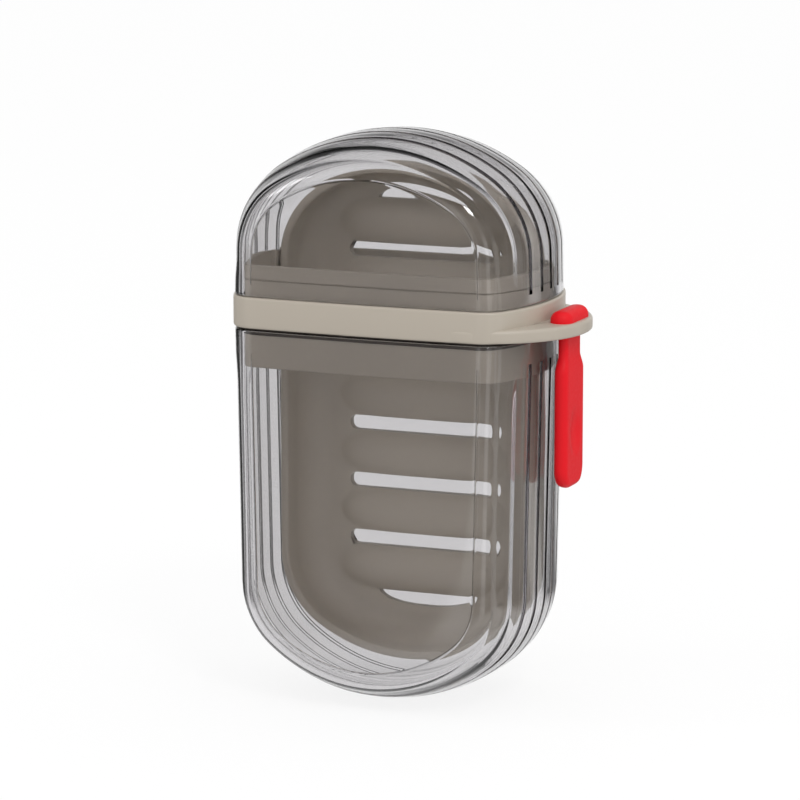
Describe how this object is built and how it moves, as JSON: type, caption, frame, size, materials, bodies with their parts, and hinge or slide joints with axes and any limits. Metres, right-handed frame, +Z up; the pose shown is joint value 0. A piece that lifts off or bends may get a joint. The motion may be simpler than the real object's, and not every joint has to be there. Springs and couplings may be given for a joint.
{
  "type": "travel soap box",
  "caption": "Upright rounded travel soap box: clear smoke-grey cover and box plug onto a beige band that carries a slotted drain tray and a red silicone strap.",
  "frame": {"origin": "under the middle of the whole part's box, level with the lowest point of the rounded bottom", "axes": "+Z up along the long axis, from the box to the cover; -Y out of the front panel; +X towards the ear and its strap"},
  "size_m": [0.0851, 0.0488, 0.1355],
  "materials": {
    "clear_shell": "clear moulded plastic with a smoke-grey tint, polished",
    "beige_plastic": "moulded opaque plastic, fine satin",
    "seal_rubber": "moulded silicone, matt",
    "strap_silicone": "moulded silicone, soft matt"
  },
  "bodies": {
    "box": {"lower_box": "clear_shell"},
    "collar": {"band": "beige_plastic", "box_seal": "seal_rubber", "strap_head": "strap_silicone"},
    "strap": {"strap_tail": "strap_silicone"},
    "tray": {"soap_tray": "beige_plastic"},
    "cover": {"top_cover": "clear_shell"}
  },
  "joints": [
    {"name": "band_lift", "type": "slide", "parent": "box", "child": "collar", "axis": [0, 0, 1], "range_m": [0, 0.095]},
    {"name": "tray_lift", "type": "slide", "parent": "collar", "child": "tray", "axis": [0, 0, 1], "range_m": [0, 0.1]},
    {"name": "cover_lift", "type": "slide", "parent": "tray", "child": "cover", "axis": [0, 0, 1], "range_m": [0, 0.04]},
    {"name": "strap_swing", "type": "hinge", "parent": "collar", "child": "strap", "pos_m": [0.03835, 0, 0.0868], "axis": [0, -1, 0], "range_deg": [-4, 85]}
  ]
}
